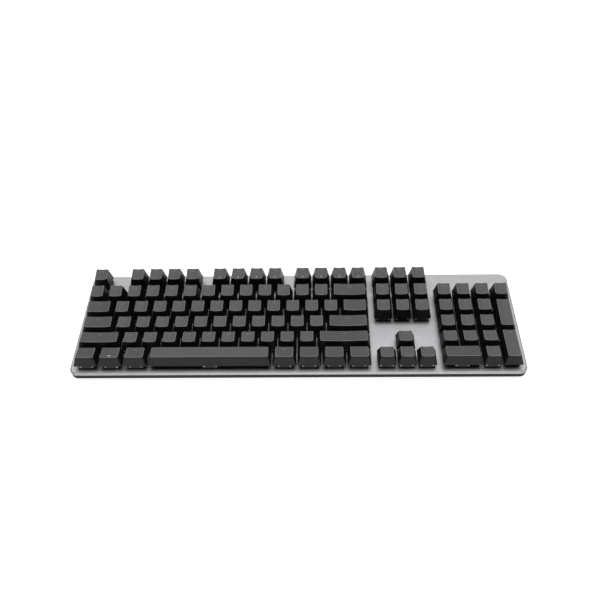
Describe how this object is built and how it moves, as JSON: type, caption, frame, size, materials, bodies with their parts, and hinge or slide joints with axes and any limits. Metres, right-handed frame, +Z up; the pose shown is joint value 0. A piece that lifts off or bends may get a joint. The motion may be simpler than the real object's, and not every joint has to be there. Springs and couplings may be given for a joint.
{
  "type": "mechanical keyboard",
  "caption": "Full-size mechanical keyboard: floating black keycaps on sprung switches over a satin aluminium plate and a black tray, with fold-out rear feet and a socket for its lead.",
  "frame": {"origin": "middle of the footprint, on the surface the rubber pads stand on", "axes": "+X to the typist's right along the rows of keys, +Y away from the typist, +Z up"},
  "size_m": [0.4382, 0.1278, 0.0405],
  "materials": {
    "satin_aluminium": "fine-blasted and anodised silver",
    "case_plastic": "fine spark texture",
    "keycap_plastic": "fine texture, satin",
    "switch_plastic": "smooth",
    "spring_steel": "drawn wire",
    "contact_brass": "stamped",
    "led_resin": "clear",
    "wire_steel": "drawn wire",
    "board_laminate": "solder mask",
    "chip_resin": "moulded",
    "socket_steel": "plated",
    "screw_steel": "black oxide",
    "pad_rubber": "matt"
  },
  "bodies": {
    "base": {"backlight_leds": "led_resin", "bottom_case": "case_plastic", "case_screws": "screw_steel", "circuit_board": "board_laminate", "controller_chip": "chip_resin", "rubber_pads": "pad_rubber", "stabiliser_housings": "switch_plastic", "stabiliser_wires": "wire_steel", "switch_bases": "switch_plastic", "switch_contacts": "contact_brass", "switch_springs": "spring_steel", "switch_tops": "switch_plastic", "top_plate": "satin_aluminium", "usb_socket": "socket_steel"},
    "arrow_keys": {"arrow_keys": "keycap_plastic"},
    "backspace_key": {"backspace_key": "keycap_plastic"},
    "enter_key": {"enter_key": "keycap_plastic"},
    "escape_key": {"escape_key": "keycap_plastic"},
    "function_keys_1_to_4": {"function_keys_1_to_4": "keycap_plastic"},
    "function_keys_5_to_8": {"function_keys_5_to_8": "keycap_plastic"},
    "function_keys_9_to_12": {"function_keys_9_to_12": "keycap_plastic"},
    "key_a": {"key_a": "keycap_plastic"},
    "key_b": {"key_b": "keycap_plastic"},
    "key_c": {"key_c": "keycap_plastic"},
    "key_d": {"key_d": "keycap_plastic"},
    "key_e": {"key_e": "keycap_plastic"},
    "key_f": {"key_f": "keycap_plastic"},
    "key_g": {"key_g": "keycap_plastic"},
    "key_h": {"key_h": "keycap_plastic"},
    "key_i": {"key_i": "keycap_plastic"},
    "key_j": {"key_j": "keycap_plastic"},
    "key_k": {"key_k": "keycap_plastic"},
    "key_l": {"key_l": "keycap_plastic"},
    "key_m": {"key_m": "keycap_plastic"},
    "key_n": {"key_n": "keycap_plastic"},
    "key_o": {"key_o": "keycap_plastic"},
    "key_p": {"key_p": "keycap_plastic"},
    "key_q": {"key_q": "keycap_plastic"},
    "key_r": {"key_r": "keycap_plastic"},
    "key_s": {"key_s": "keycap_plastic"},
    "key_t": {"key_t": "keycap_plastic"},
    "key_u": {"key_u": "keycap_plastic"},
    "key_v": {"key_v": "keycap_plastic"},
    "key_w": {"key_w": "keycap_plastic"},
    "key_x": {"key_x": "keycap_plastic"},
    "key_y": {"key_y": "keycap_plastic"},
    "key_z": {"key_z": "keycap_plastic"},
    "keypad_enter_key": {"keypad_enter_key": "keycap_plastic"},
    "keypad_keys": {"keypad_keys": "keycap_plastic"},
    "keypad_plus_key": {"keypad_plus_key": "keycap_plastic"},
    "keypad_zero_key": {"keypad_zero_key": "keycap_plastic"},
    "left_shift_key": {"left_shift_key": "keycap_plastic"},
    "modifier_keys": {"modifier_keys": "keycap_plastic"},
    "navigation_keys": {"navigation_keys": "keycap_plastic"},
    "number_row_keys": {"number_row_keys": "keycap_plastic"},
    "punctuation_keys": {"punctuation_keys": "keycap_plastic"},
    "right_shift_key": {"right_shift_key": "keycap_plastic"},
    "spacebar": {"spacebar": "keycap_plastic"},
    "tilt_foot_left": {"tilt_foot_left": "case_plastic"},
    "tilt_foot_right": {"tilt_foot_right": "case_plastic"}
  },
  "joints": [
    {"name": "arrow_keys_press", "type": "slide", "parent": "base", "child": "arrow_keys", "axis": [0, 0.0698, -0.9976], "range_m": [0, 0.004], "stiffness_N_per_m": 300, "springref_m": -0.004, "deforming": ["switch_springs"]},
    {"name": "backspace_key_press", "type": "slide", "parent": "base", "child": "backspace_key", "axis": [0, 0.0698, -0.9976], "range_m": [0, 0.004], "stiffness_N_per_m": 75, "springref_m": -0.004, "deforming": ["switch_springs"]},
    {"name": "enter_key_press", "type": "slide", "parent": "base", "child": "enter_key", "axis": [0, 0.0698, -0.9976], "range_m": [0, 0.004], "stiffness_N_per_m": 75, "springref_m": -0.004, "deforming": ["switch_springs"]},
    {"name": "escape_key_press", "type": "slide", "parent": "base", "child": "escape_key", "axis": [0, 0.0698, -0.9976], "range_m": [0, 0.004], "stiffness_N_per_m": 75, "springref_m": -0.004, "deforming": ["switch_springs"]},
    {"name": "function_keys_1_to_4_press", "type": "slide", "parent": "base", "child": "function_keys_1_to_4", "axis": [0, 0.0698, -0.9976], "range_m": [0, 0.004], "stiffness_N_per_m": 300, "springref_m": -0.004, "deforming": ["switch_springs"]},
    {"name": "function_keys_5_to_8_press", "type": "slide", "parent": "base", "child": "function_keys_5_to_8", "axis": [0, 0.0698, -0.9976], "range_m": [0, 0.004], "stiffness_N_per_m": 300, "springref_m": -0.004, "deforming": ["switch_springs"]},
    {"name": "function_keys_9_to_12_press", "type": "slide", "parent": "base", "child": "function_keys_9_to_12", "axis": [0, 0.0698, -0.9976], "range_m": [0, 0.004], "stiffness_N_per_m": 300, "springref_m": -0.004, "deforming": ["switch_springs"]},
    {"name": "key_a_press", "type": "slide", "parent": "base", "child": "key_a", "axis": [0, 0.0698, -0.9976], "range_m": [0, 0.004], "stiffness_N_per_m": 75, "springref_m": -0.004, "deforming": ["switch_springs"]},
    {"name": "key_b_press", "type": "slide", "parent": "base", "child": "key_b", "axis": [0, 0.0698, -0.9976], "range_m": [0, 0.004], "stiffness_N_per_m": 75, "springref_m": -0.004, "deforming": ["switch_springs"]},
    {"name": "key_c_press", "type": "slide", "parent": "base", "child": "key_c", "axis": [0, 0.0698, -0.9976], "range_m": [0, 0.004], "stiffness_N_per_m": 75, "springref_m": -0.004, "deforming": ["switch_springs"]},
    {"name": "key_d_press", "type": "slide", "parent": "base", "child": "key_d", "axis": [0, 0.0698, -0.9976], "range_m": [0, 0.004], "stiffness_N_per_m": 75, "springref_m": -0.004, "deforming": ["switch_springs"]},
    {"name": "key_e_press", "type": "slide", "parent": "base", "child": "key_e", "axis": [0, 0.0698, -0.9976], "range_m": [0, 0.004], "stiffness_N_per_m": 75, "springref_m": -0.004, "deforming": ["switch_springs"]},
    {"name": "key_f_press", "type": "slide", "parent": "base", "child": "key_f", "axis": [0, 0.0698, -0.9976], "range_m": [0, 0.004], "stiffness_N_per_m": 75, "springref_m": -0.004, "deforming": ["switch_springs"]},
    {"name": "key_g_press", "type": "slide", "parent": "base", "child": "key_g", "axis": [0, 0.0698, -0.9976], "range_m": [0, 0.004], "stiffness_N_per_m": 75, "springref_m": -0.004, "deforming": ["switch_springs"]},
    {"name": "key_h_press", "type": "slide", "parent": "base", "child": "key_h", "axis": [0, 0.0698, -0.9976], "range_m": [0, 0.004], "stiffness_N_per_m": 75, "springref_m": -0.004, "deforming": ["switch_springs"]},
    {"name": "key_i_press", "type": "slide", "parent": "base", "child": "key_i", "axis": [0, 0.0698, -0.9976], "range_m": [0, 0.004], "stiffness_N_per_m": 75, "springref_m": -0.004, "deforming": ["switch_springs"]},
    {"name": "key_j_press", "type": "slide", "parent": "base", "child": "key_j", "axis": [0, 0.0698, -0.9976], "range_m": [0, 0.004], "stiffness_N_per_m": 75, "springref_m": -0.004, "deforming": ["switch_springs"]},
    {"name": "key_k_press", "type": "slide", "parent": "base", "child": "key_k", "axis": [0, 0.0698, -0.9976], "range_m": [0, 0.004], "stiffness_N_per_m": 75, "springref_m": -0.004, "deforming": ["switch_springs"]},
    {"name": "key_l_press", "type": "slide", "parent": "base", "child": "key_l", "axis": [0, 0.0698, -0.9976], "range_m": [0, 0.004], "stiffness_N_per_m": 75, "springref_m": -0.004, "deforming": ["switch_springs"]},
    {"name": "key_m_press", "type": "slide", "parent": "base", "child": "key_m", "axis": [0, 0.0698, -0.9976], "range_m": [0, 0.004], "stiffness_N_per_m": 75, "springref_m": -0.004, "deforming": ["switch_springs"]},
    {"name": "key_n_press", "type": "slide", "parent": "base", "child": "key_n", "axis": [0, 0.0698, -0.9976], "range_m": [0, 0.004], "stiffness_N_per_m": 75, "springref_m": -0.004, "deforming": ["switch_springs"]},
    {"name": "key_o_press", "type": "slide", "parent": "base", "child": "key_o", "axis": [0, 0.0698, -0.9976], "range_m": [0, 0.004], "stiffness_N_per_m": 75, "springref_m": -0.004, "deforming": ["switch_springs"]},
    {"name": "key_p_press", "type": "slide", "parent": "base", "child": "key_p", "axis": [0, 0.0698, -0.9976], "range_m": [0, 0.004], "stiffness_N_per_m": 75, "springref_m": -0.004, "deforming": ["switch_springs"]},
    {"name": "key_q_press", "type": "slide", "parent": "base", "child": "key_q", "axis": [0, 0.0698, -0.9976], "range_m": [0, 0.004], "stiffness_N_per_m": 75, "springref_m": -0.004, "deforming": ["switch_springs"]},
    {"name": "key_r_press", "type": "slide", "parent": "base", "child": "key_r", "axis": [0, 0.0698, -0.9976], "range_m": [0, 0.004], "stiffness_N_per_m": 75, "springref_m": -0.004, "deforming": ["switch_springs"]},
    {"name": "key_s_press", "type": "slide", "parent": "base", "child": "key_s", "axis": [0, 0.0698, -0.9976], "range_m": [0, 0.004], "stiffness_N_per_m": 75, "springref_m": -0.004, "deforming": ["switch_springs"]},
    {"name": "key_t_press", "type": "slide", "parent": "base", "child": "key_t", "axis": [0, 0.0698, -0.9976], "range_m": [0, 0.004], "stiffness_N_per_m": 75, "springref_m": -0.004, "deforming": ["switch_springs"]},
    {"name": "key_u_press", "type": "slide", "parent": "base", "child": "key_u", "axis": [0, 0.0698, -0.9976], "range_m": [0, 0.004], "stiffness_N_per_m": 75, "springref_m": -0.004, "deforming": ["switch_springs"]},
    {"name": "key_v_press", "type": "slide", "parent": "base", "child": "key_v", "axis": [0, 0.0698, -0.9976], "range_m": [0, 0.004], "stiffness_N_per_m": 75, "springref_m": -0.004, "deforming": ["switch_springs"]},
    {"name": "key_w_press", "type": "slide", "parent": "base", "child": "key_w", "axis": [0, 0.0698, -0.9976], "range_m": [0, 0.004], "stiffness_N_per_m": 75, "springref_m": -0.004, "deforming": ["switch_springs"]},
    {"name": "key_x_press", "type": "slide", "parent": "base", "child": "key_x", "axis": [0, 0.0698, -0.9976], "range_m": [0, 0.004], "stiffness_N_per_m": 75, "springref_m": -0.004, "deforming": ["switch_springs"]},
    {"name": "key_y_press", "type": "slide", "parent": "base", "child": "key_y", "axis": [0, 0.0698, -0.9976], "range_m": [0, 0.004], "stiffness_N_per_m": 75, "springref_m": -0.004, "deforming": ["switch_springs"]},
    {"name": "key_z_press", "type": "slide", "parent": "base", "child": "key_z", "axis": [0, 0.0698, -0.9976], "range_m": [0, 0.004], "stiffness_N_per_m": 75, "springref_m": -0.004, "deforming": ["switch_springs"]},
    {"name": "keypad_enter_key_press", "type": "slide", "parent": "base", "child": "keypad_enter_key", "axis": [0, 0.0698, -0.9976], "range_m": [0, 0.004], "stiffness_N_per_m": 75, "springref_m": -0.004, "deforming": ["switch_springs"]},
    {"name": "keypad_keys_press", "type": "slide", "parent": "base", "child": "keypad_keys", "axis": [0, 0.0698, -0.9976], "range_m": [0, 0.004], "stiffness_N_per_m": 1050, "springref_m": -0.004, "deforming": ["switch_springs"]},
    {"name": "keypad_plus_key_press", "type": "slide", "parent": "base", "child": "keypad_plus_key", "axis": [0, 0.0698, -0.9976], "range_m": [0, 0.004], "stiffness_N_per_m": 75, "springref_m": -0.004, "deforming": ["switch_springs"]},
    {"name": "keypad_zero_key_press", "type": "slide", "parent": "base", "child": "keypad_zero_key", "axis": [0, 0.0698, -0.9976], "range_m": [0, 0.004], "stiffness_N_per_m": 75, "springref_m": -0.004, "deforming": ["switch_springs"]},
    {"name": "left_shift_key_press", "type": "slide", "parent": "base", "child": "left_shift_key", "axis": [0, 0.0698, -0.9976], "range_m": [0, 0.004], "stiffness_N_per_m": 75, "springref_m": -0.004, "deforming": ["switch_springs"]},
    {"name": "modifier_keys_press", "type": "slide", "parent": "base", "child": "modifier_keys", "axis": [0, 0.0698, -0.9976], "range_m": [0, 0.004], "stiffness_N_per_m": 675, "springref_m": -0.004, "deforming": ["switch_springs"]},
    {"name": "navigation_keys_press", "type": "slide", "parent": "base", "child": "navigation_keys", "axis": [0, 0.0698, -0.9976], "range_m": [0, 0.004], "stiffness_N_per_m": 675, "springref_m": -0.004, "deforming": ["switch_springs"]},
    {"name": "number_row_keys_press", "type": "slide", "parent": "base", "child": "number_row_keys", "axis": [0, 0.0698, -0.9976], "range_m": [0, 0.004], "stiffness_N_per_m": 975, "springref_m": -0.004, "deforming": ["switch_springs"]},
    {"name": "punctuation_keys_press", "type": "slide", "parent": "base", "child": "punctuation_keys", "axis": [0, 0.0698, -0.9976], "range_m": [0, 0.004], "stiffness_N_per_m": 600, "springref_m": -0.004, "deforming": ["switch_springs"]},
    {"name": "right_shift_key_press", "type": "slide", "parent": "base", "child": "right_shift_key", "axis": [0, 0.0698, -0.9976], "range_m": [0, 0.004], "stiffness_N_per_m": 75, "springref_m": -0.004, "deforming": ["switch_springs"]},
    {"name": "spacebar_press", "type": "slide", "parent": "base", "child": "spacebar", "axis": [0, 0.0698, -0.9976], "range_m": [0, 0.004], "stiffness_N_per_m": 75, "springref_m": -0.004, "deforming": ["switch_springs"]},
    {"name": "tilt_foot_left_fold", "type": "hinge", "parent": "base", "child": "tilt_foot_left", "pos_m": [-0.15, 0.046, 0.0045], "axis": [1, 0, 0], "range_deg": [0, 90]},
    {"name": "tilt_foot_right_fold", "type": "hinge", "parent": "base", "child": "tilt_foot_right", "pos_m": [0.15, 0.046, 0.0045], "axis": [1, 0, 0], "range_deg": [0, 90]}
  ]
}
